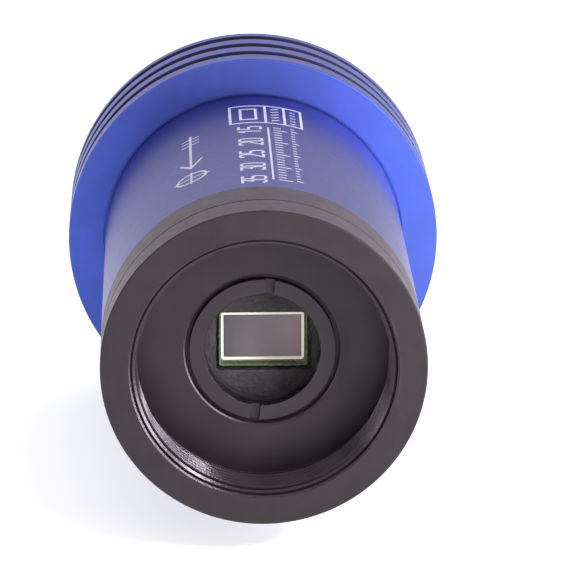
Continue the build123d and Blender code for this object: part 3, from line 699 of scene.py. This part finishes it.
def make_nose_ring():
    """Front ring with its bevelled mouth and the thread that holds it."""
    inner_step_y = SPIGOT_FRONT_Y - FIT
    thread_root_r = RING_THREAD_R + RING_THREAD_HEIGHT
    outside = eased([
        (RING_THREAD_R, inner_step_y),
        (MOUTH_R, inner_step_y),
        (MOUTH_R, NOSE_Y + MOUTH_BEVEL_LENGTH, EDGE),
        (MOUTH_R + MOUTH_BEVEL_WIDTH, NOSE_Y, EDGE),
        (BARREL_R - NOSE_CHAMFER, NOSE_Y, FACE_EDGE),
        (BARREL_R, NOSE_Y + NOSE_CHAMFER, FACE_EDGE),
        (BARREL_R, RING_REAR_Y - SEAM_CHAMFER, EDGE),
        (BARREL_R - SEAM_CHAMFER, RING_REAR_Y, EDGE),
        (thread_root_r, RING_REAR_Y)])
    thread = thread_rows(inner_step_y, RING_REAR_Y, RING_THREAD_R, thread_root_r,
                         RING_THREAD_PITCH, RING_THREAD_LEAD_IN)
    make_turned("nose_ring", straight(outside) + thread[::-1], "front_ring")


def make_spacer_shim():
    """The recessed line behind the front ring."""
    make_turned("spacer_shim", straight(eased([
        (RING_THREAD_R, RING_REAR_Y),
        (SHIM_R, RING_REAR_Y, SHIM_EDGE),
        (SHIM_R, COLLAR_FRONT_Y, SHIM_EDGE),
        (RING_THREAD_R, COLLAR_FRONT_Y)])), "shim")


def make_chamber_housing():
    """Neck, ring thread, collar, barrel spigot, bay, window seat, floor and lens thread."""
    spigot_r = RING_THREAD_R - FIT
    neck_r = MOUTH_R - FIT
    lens_thread_front_y = NECK_FRONT_Y + ENTRY_LENGTH
    lens_thread_rear_y = FLOOR_Y - RUNOUT_LENGTH
    neck = eased([
        (neck_r - NECK_CHAMFER, NECK_FRONT_Y, EDGE),
        (neck_r, NECK_FRONT_Y + NECK_CHAMFER, EDGE),
        (neck_r, SPIGOT_FRONT_Y)])
    ring_thread = thread_rows(SPIGOT_FRONT_Y, COLLAR_FRONT_Y, spigot_r,
                              spigot_r - RING_THREAD_HEIGHT, RING_THREAD_PITCH,
                              RING_THREAD_LEAD_IN)
    body = eased([
        (spigot_r - RING_THREAD_HEIGHT, COLLAR_FRONT_Y),
        (BARREL_R - SEAM_CHAMFER, COLLAR_FRONT_Y, EDGE),
        (BARREL_R, COLLAR_FRONT_Y + SEAM_CHAMFER, EDGE),
        (BARREL_R, COLLAR_REAR_Y, EDGE),
        (spigot_r, COLLAR_REAR_Y),
        (spigot_r, CHAMBER_REAR_Y),
        (CHAMBER_BAY_R, CHAMBER_REAR_Y),
        (CHAMBER_BAY_R, WEB_REAR_Y),
        (APERTURE_R, WEB_REAR_Y, BORE_EDGE),
        (APERTURE_R, WINDOW_REAR_Y, BORE_EDGE),
        (WINDOW_SEAT_R, WINDOW_REAR_Y),
        (WINDOW_SEAT_R, RETAINER_REAR_Y),
        (RETAINER_SEAT_R, RETAINER_REAR_Y),
        (RETAINER_SEAT_R, FLOOR_Y + RECESS_DEPTH),
        (RECESS_R, FLOOR_Y + RECESS_DEPTH),
        (RECESS_R, FLOOR_Y + RECESS_CHAMFER, EDGE),
        (RECESS_R + RECESS_CHAMFER_WIDTH, FLOOR_Y, EDGE),
        (RUNOUT_R, FLOOR_Y, RUNOUT_CORNER),
        (RUNOUT_R, lens_thread_rear_y, RUNOUT_CORNER)])
    lens_thread = thread_rows(lens_thread_front_y, lens_thread_rear_y, LENS_THREAD_MINOR_R,
                              LENS_THREAD_MAJOR_R, LENS_THREAD_PITCH)
    entry = eased([
        (ENTRY_GROOVE_R, lens_thread_front_y),
        (ENTRY_GROOVE_R, NECK_FRONT_Y + BEVEL_LENGTH + ENTRY_WALL_LENGTH),
        (BEVEL_R, NECK_FRONT_Y + BEVEL_LENGTH),
        (LENS_THREAD_MAJOR_R, NECK_FRONT_Y)])
    rows = straight(neck) + ring_thread + straight(body) + lens_thread[::-1] + straight(entry)
    make_turned("chamber_housing", rows, limit=THREAD_SHARP_ANGLE)


def make_barrel_tube():
    """Blue barrel with the neck and the spigot that sit in the flange."""
    make_turned("barrel_tube", straight(eased([
        (TUBE_BORE_R, COLLAR_REAR_Y),
        (BARREL_R, COLLAR_REAR_Y, EDGE),
        (BARREL_R, 0, SHOULDER_EDGE),
        (TUBE_NECK_R, 0),
        (TUBE_NECK_R, FLANGE_SEAT_DEPTH),
        (TUBE_SPIGOT_R, FLANGE_SEAT_DEPTH),
        (TUBE_SPIGOT_R, TUBE_REAR_Y),
        (TUBE_BORE_R, TUBE_REAR_Y)])))


def make_rear_housing():
    """Flange with its cooling grooves, the barrel's seat and the bay under the cover."""
    cover_seat_r = COVER_R + FIT
    socket_r = TUBE_SPIGOT_R + FIT
    corners = [
        (socket_r, FLANGE_SEAT_DEPTH),
        (FLANGE_SEAT_R, FLANGE_SEAT_DEPTH),
        (FLANGE_SEAT_R, 0, EDGE),
        (FLANGE_R - FLANGE_FRONT_CHAMFER, 0, FACE_EDGE),
        (FLANGE_R, FLANGE_FRONT_CHAMFER, FACE_EDGE)]
    for centre in GROOVE_CENTRES:
        front = centre - GROOVE_WIDTH / 2
        rear = centre + GROOVE_WIDTH / 2
        corners += [
            (FLANGE_R, front, GROOVE_EDGE),
            (GROOVE_BOTTOM_R, front, GROOVE_CORNER),
            (GROOVE_BOTTOM_R, rear, GROOVE_CORNER),
            (FLANGE_R, rear, GROOVE_EDGE)]
    corners += [
        (FLANGE_R, FLANGE_REAR_Y - FLANGE_REAR_CHAMFER, FLANGE_REAR_EDGE),
        (FLANGE_R - FLANGE_REAR_CHAMFER, FLANGE_REAR_Y, FLANGE_REAR_EDGE),
        (cover_seat_r, FLANGE_REAR_Y, COVER_SEAT_EDGE),
        (cover_seat_r, GASKET_FRONT_Y),
        (HOUSING_BAY_R, GASKET_FRONT_Y),
        (HOUSING_BAY_R, HOUSING_BAY_FRONT_Y),
        (socket_r, HOUSING_BAY_FRONT_Y)]
    make_turned("rear_housing", straight(eased(corners)))


# --- window and sensor ---

def make_window():
    """Retainer and window with their edges eased."""
    make_eased_copy("window_retainer", 0.05)
    make_eased_copy("window_glass", 0.03)


def make_sensor_package():
    """Carrier whose rim is a rounded bead round the lid."""
    outer = node_sides("sensor_package")
    inner = node_sides("sensor_cover_glass")
    front_y = low("sensor_package", Y)
    outer_corner = 0.35
    inner_corner = 0.2
    bead_height = 0.3
    bead_steps = 10
    wall_front_y = front_y + 1.2 * bead_height
    rings = [rounded_ring(outer, outer_corner, high("sensor_package", Y)),
             rounded_ring(outer, outer_corner, wall_front_y)]
    for step in range(bead_steps + 1):
        share = step / bead_steps
        corner = outer_corner + (inner_corner - outer_corner) * share
        y = front_y + bead_height * (1 - math.sin(math.pi * share))
        rings.append(rounded_ring(between(outer, inner, share), corner, y))
    rings.append(rounded_ring(inner, inner_corner, high("sensor_die", Y)))
    stand_in("sensor_package", "moulded", frame_mesh("sensor_package", rings, False))


def make_bond_frame():
    """Flat plated frame round the die, with eased edges."""
    die_gap = 0.08
    ease = 0.02
    ease_share = 0.08        # of the frame's width that each eased edge takes
    outer_corner = 0.3
    inner_corner = 0.03
    outer = node_sides("sensor_bond_frame")
    inner = node_sides("sensor_die", die_gap)
    front_y = low("sensor_bond_frame", Y)
    rear_y = high("sensor_bond_frame", Y)
    rings = [rounded_ring(outer, outer_corner, rear_y),
             rounded_ring(outer, outer_corner, front_y + ease),
             rounded_ring(between(outer, inner, ease_share), outer_corner - ease, front_y),
             rounded_ring(between(outer, inner, 1 - ease_share), inner_corner + ease, front_y),
             rounded_ring(inner, inner_corner, front_y + ease),
             rounded_ring(inner, inner_corner, rear_y)]
    stand_in("sensor_bond_frame", "plated", frame_mesh("sensor_bond_frame", rings, True))


def make_sensor_lid():
    """Lid a hair smaller than the carrier's opening, with eased edges."""
    clearance = 0.03
    ease = 0.03
    side_corner = 0.12
    face_corner = 0.1
    sides = node_sides("sensor_cover_glass", -clearance)
    face = node_sides("sensor_cover_glass", -clearance - ease)
    front_y = low("sensor_cover_glass", Y)
    rear_y = high("sensor_cover_glass", Y)
    rings = [rounded_ring(face, face_corner, front_y),
             rounded_ring(sides, side_corner, front_y + ease),
             rounded_ring(sides, side_corner, rear_y - ease),
             rounded_ring(face, face_corner, rear_y)]
    stand_in("sensor_cover_glass", "ground", frame_mesh("sensor_cover_glass", rings, False))


def make_sensor_mask():
    """Open-cell foam: a fine remesh of the CAD disc with an uneven surface."""
    cell = 0.11
    lumps = ((1.7, 0.02), (4.5, 0.03))       # lumps to a millimetre and their height
    sink = 0.04              # keeps the highest lumps inside the CAD disc
    source = bpy.data.objects.new("mask_source", frame["nodes"]["sensor_mask"].data.copy())
    bpy.context.scene.collection.objects.link(source)
    remesh = source.modifiers.new("cells", "REMESH")
    remesh.mode = "VOXEL"
    remesh.voxel_size = cell * MM
    seen = source.evaluated_get(bpy.context.evaluated_depsgraph_get())
    mesh = bpy.data.meshes.new_from_object(seen)
    bpy.data.objects.remove(source)
    mesh.name = "sensor_mask"
    mesh.materials.clear()
    for vertex, normal in [(vertex, vertex.normal.copy()) for vertex in mesh.vertices]:
        place = vertex.co / MM
        lump = sum(noise.noise(place * scale) * height for scale, height in lumps)
        vertex.co += normal * (lump - sink) * MM
    for polygon in mesh.polygons:
        polygon.use_smooth = True
    stand_in("sensor_mask", "foam", mesh)


# --- marks on the barrel ---

MARK_WIDTH = 0.28
MARK_FINE_WIDTH = 0.2
MARK_HEIGHT = 0.014
MARK_SINK = 0.02
MARK_STEP = 0.35              # longest straight stretch of a mark round the barrel
MITRE_LIMIT = 0.5             # keeps the corners of a mark from growing long
CIRCLE_STEPS = 24
DIGIT_GAP = 0.35              # space between two digits, as a share of a digit's width
SCALE_START = 14              # the scale runs forwards from the shoulder
SCALE_END = 35
SCALE_FIRST_NUMBER = 15
SCALE_NUMBER_STEP = 5
LEFT_MARKS_ARC = -7.0         # middle of the reticle and the arrow
DIGIT_STROKES = {
    "0": [[(0, 0.15), (0, 0.85), (0.2, 1), (0.8, 1), (1, 0.85), (1, 0.15), (0.8, 0), (0.2, 0),
           (0, 0.15)]],
    "1": [[(0.15, 0.75), (0.55, 1), (0.55, 0)]],
    "2": [[(0, 0.85), (0.2, 1), (0.8, 1), (1, 0.85), (1, 0.6), (0, 0), (1, 0)]],
    "3": [[(0, 1), (1, 1), (0.45, 0.58), (0.8, 0.58), (1, 0.4), (1, 0.15), (0.8, 0), (0.2, 0),
           (0, 0.15)]],
    "5": [[(1, 1), (0.1, 1), (0, 0.55), (0.75, 0.55), (1, 0.4), (1, 0.15), (0.8, 0), (0.2, 0),
           (0, 0.1)]],
}


def on_barrel(arc, y, height):
    """Point on the barrel: arc is measured from the top towards +X, in millimetres."""
    angle = arc / BARREL_R
    reach = BARREL_R + height
    return (reach * math.sin(angle) * MM, y * MM, reach * math.cos(angle) * MM)


def dense(path):
    """The path with extra points, so that it follows the barrel's curve."""
    points = [path[0]]
    for one, two in zip(path, path[1:]):
        count = max(1, math.ceil(math.dist(one, two) / MARK_STEP))
        for step in range(1, count + 1):
            share = step / count
            points.append(tuple(a + (b - a) * share for a, b in zip(one, two)))
    return points


class Marks:
    """Closed raised strips that lie on the barrel, gathered into one mesh."""

    def __init__(self):
        self.verts = []
        self.faces = []

    def stroke(self, path, width=MARK_WIDTH):
        """A strip along a path of (arc, y) points; it closes where the path does."""
        points = [Vector(point) for point in dense(path)]
        closed = path[0] == path[-1]
        if closed:
            points.pop()
        count = len(points)
        first = len(self.verts)
        for index, point in enumerate(points):
            before = points[index - 1] if closed or index else None
            after = points[(index + 1) % count] if closed or index < count - 1 else None
            into = (point - before).normalized() if before is not None else None
            out = (after - point).normalized() if after is not None else None
            into = into or out
            out = out or into
            side = Vector((-(into + out).y, (into + out).x)).normalized()
            spread = width / 2 / max(MITRE_LIMIT, side.dot(Vector((-out.y, out.x))))
            for reach in (-spread, spread):
                edge = point + side * reach
                for height in (-MARK_SINK, MARK_HEIGHT):
                    self.verts.append(on_barrel(edge.x, edge.y, height))
        for index in range(count if closed else count - 1):
            here = first + index * 4
            there = first + (index + 1) % count * 4
            for one, two in ((0, 1), (1, 3), (3, 2), (2, 0)):
                self.faces.append((here + one, here + two, there + two, there + one))
        if not closed:
            for end in (first, first + (count - 1) * 4):
                self.faces.append((end, end + 1, end + 3, end + 2))

    def box(self, arc_low, arc_high, y_low, y_high):
        self.stroke([(arc_low, y_low), (arc_high, y_low), (arc_high, y_high),
                     (arc_low, y_high), (arc_low, y_low)])

    def circle(self, arc, y, radius):
        turns = [math.tau * step / CIRCLE_STEPS for step in range(CIRCLE_STEPS)]
        path = [(arc + radius * math.cos(turn), y + radius * math.sin(turn)) for turn in turns]
        self.stroke(path + path[:1])

    def digits(self, number, arc_foot, height, y_middle, width):
        """A number that reads along the barrel towards the flange."""
        text = str(number)
        pitch = (1 + DIGIT_GAP) * width
        start = y_middle - ((len(text) - 1) * pitch + width) / 2
        for place, digit in enumerate(text):
            for strokes in DIGIT_STROKES[digit]:
                self.stroke([(arc_foot - up * height, start + place * pitch + along * width)
                             for along, up in strokes])


def mark_scale(marks):
    """Insertion scale: a line, two rows of ticks and a plain number at each long tick."""
    line_arc = 1.25
    near_row = (1.8, 2.6, 3.2)       # arc of the ticks' feet, of short ends and of long ends
    far_row = (3.6, 4.0, 4.3)
    far_row_shift = 0.5
    marks.stroke([(line_arc, -SCALE_END), (line_arc, -SCALE_START)], MARK_FINE_WIDTH)
    for y in range(-SCALE_END, -SCALE_START + 1):
        for (foot, short_end, long_end), shift in ((near_row, 0), (far_row, far_row_shift)):
            end = short_end if y % SCALE_NUMBER_STEP else long_end
            marks.stroke([(foot, y + shift), (end, y + shift)], MARK_FINE_WIDTH)
    for distance in range(SCALE_FIRST_NUMBER, SCALE_END + 1, SCALE_NUMBER_STEP):
        marks.digits(distance, arc_foot=0.5, height=2.3, y_middle=-distance, width=1.1)


def mark_sensor_outline(marks):
    """Outline of a sensor: its area, two lines across and two rows of ticks."""
    front_y = -12.0
    rear_y = -4.8
    marks.box(-2.6, 4.9, front_y, rear_y)
    for arc in (1.1, 3.1):
        marks.stroke([(arc, front_y), (arc, rear_y)])
    marks.box(-1.5, 0.1, -10.6, -6.2)
    tick_count = 5
    tick_gap = 1.2
    tick_rise = 0.6
    for index in range(tick_count):
        y = front_y + 1.0 + index * tick_gap
        marks.stroke([(1.7, y), (2.5, y + tick_rise)], MARK_FINE_WIDTH)
        marks.stroke([(3.7, y), (4.3, y)], MARK_FINE_WIDTH)


def mark_reticle(marks):
    """A circle with a cross that reaches past it."""
    arc = LEFT_MARKS_ARC
    y = -28.8
    reach = 2.0
    marks.circle(arc, y, 1.6)
    marks.stroke([(arc - reach, y), (arc + reach, y)], MARK_FINE_WIDTH)
    marks.stroke([(arc, y - reach), (arc, y + reach)], MARK_FINE_WIDTH)


def mark_arrow(marks):
    """An arrow towards the nose with three cross lines on its shaft."""
    arc = LEFT_MARKS_ARC
    head_half = 1.2
    head_rear_y = -22.4
    cross_half = 1.0
    marks.stroke([(arc, -24.6), (arc, -12.0)])
    marks.stroke([(arc - head_half, head_rear_y), (arc, -24.9), (arc + head_half, head_rear_y)])
    for y in (-15.6, -14.4, -13.2):
        marks.stroke([(arc - cross_half, y), (arc + cross_half, y)], MARK_FINE_WIDTH)


def make_barrel_marks():
    """All the marks as one piece."""
    marks = Marks()
    mark_scale(marks)
    mark_sensor_outline(marks)
    mark_reticle(marks)
    mark_arrow(marks)
    mesh = bpy.data.meshes.new("barrel_marks")
    mesh.from_pydata(marks.verts, [], marks.faces)
    mend(mesh)
    new_piece("barrel_marks", mesh, finishes["laser_mark"])


# --- the rear ---

def make_rear():
    """Cover, connectors and fasteners with their edges eased."""
    for node, width in (("rear_cover", 0.06), ("rear_cover_screws", 0.05),
                        ("usb_c_shell", 0.05), ("usb_c_tongue", 0.06),
                        ("guide_port_housing", 0.06), ("guide_port_pins", 0.05),
                        ("light_pipe", 0.04)):
        make_eased_copy(node, width)


make_nose_ring()
make_spacer_shim()
make_chamber_housing()
make_barrel_tube()
make_rear_housing()
make_window()
make_sensor_package()
make_bond_frame()
make_sensor_lid()
make_sensor_mask()
make_barrel_marks()
make_rear()


# --- floor, light and camera ---

FLOOR_Z = -FLANGE_R
FLOOR_HALF = 2500


def make_floor():
    """Pale paper that the flange stands on."""
    half = FLOOR_HALF * MM
    level = FLOOR_Z * MM
    mesh = bpy.data.meshes.new("floor")
    mesh.from_pydata([(-half, -half, level), (half, -half, level), (half, half, level),
                      (-half, half, level)], [], [(0, 1, 2, 3)])
    floor = bpy.data.objects.new("floor", mesh)
    bpy.context.scene.collection.objects.link(floor)
    paper = Finish("floor_paper", Roughness=0.9, Specular_IOR_Level=0.1,
                   Emission_Color=(1, 1, 1, 1), Emission_Strength=0.35)
    paper.colour(paper.blend(paper.noise(40, 2), (0.77, 0.77, 0.77), (0.79, 0.79, 0.79)))
    mesh.materials.append(paper.material)


def make_light(name, direction, distance, size, power):
    """Area light aimed at the middle of the barrel, at a distance in millimetres."""
    data = bpy.data.lights.new(name, "AREA")
    data.shape = "DISK"
    data.size = size * MM
    data.energy = power
    light = bpy.data.objects.new(name, data)
    bpy.context.scene.collection.objects.link(light)
    middle = Vector((0, NOSE_Y / 2 * MM, 0))
    light.visible_camera = False
    light.location = middle + Vector(direction).normalized() * distance * MM
    light.rotation_euler = (middle - light.location).to_track_quat("-Z", "Y").to_euler()


def make_world(brightness):
    world = bpy.data.worlds.new("white_studio")
    world.use_nodes = True
    backdrop = world.node_tree.nodes["Background"]
    backdrop.inputs["Color"].default_value = (1, 1, 1, 1)
    backdrop.inputs["Strength"].default_value = brightness
    bpy.context.scene.world = world


def make_camera():
    """Long lens, a little above the optical axis and slightly to its left."""
    aim = Vector((2.44, NOSE_Y, 8.0)) * MM
    distance = 389.1
    elevation = math.radians(16.305)
    azimuth = math.radians(1.798)
    look = Vector((math.cos(elevation) * math.sin(azimuth),
                   math.cos(elevation) * math.cos(azimuth), -math.sin(elevation)))
    data = bpy.data.cameras.new("camera")
    data.sensor_width = 36
    data.lens = 252.3
    data.clip_start = 0.01
    camera = bpy.data.objects.new("camera", data)
    bpy.context.scene.collection.objects.link(camera)
    camera.location = aim - look * distance * MM
    camera.rotation_euler = look.to_track_quat("-Z", "Y").to_euler()
    bpy.context.scene.camera = camera


make_floor()
make_world(brightness=1.12)
# name, direction from the barrel, distance, size, power
make_light("key", (0.74, -0.50, 0.45), 400, 150, 0.5)
make_light("glint", (0.55, -0.66, 0.52), 420, 60, 1.35)
make_light("glint_left", (-0.78, -0.62, 0.11), 420, 90, 0.15)
make_light("fill_right", (0.72, -0.69, 0.05), 150, 60, 0.28)
make_camera()
bpy.context.scene.view_settings.view_transform = "Standard"
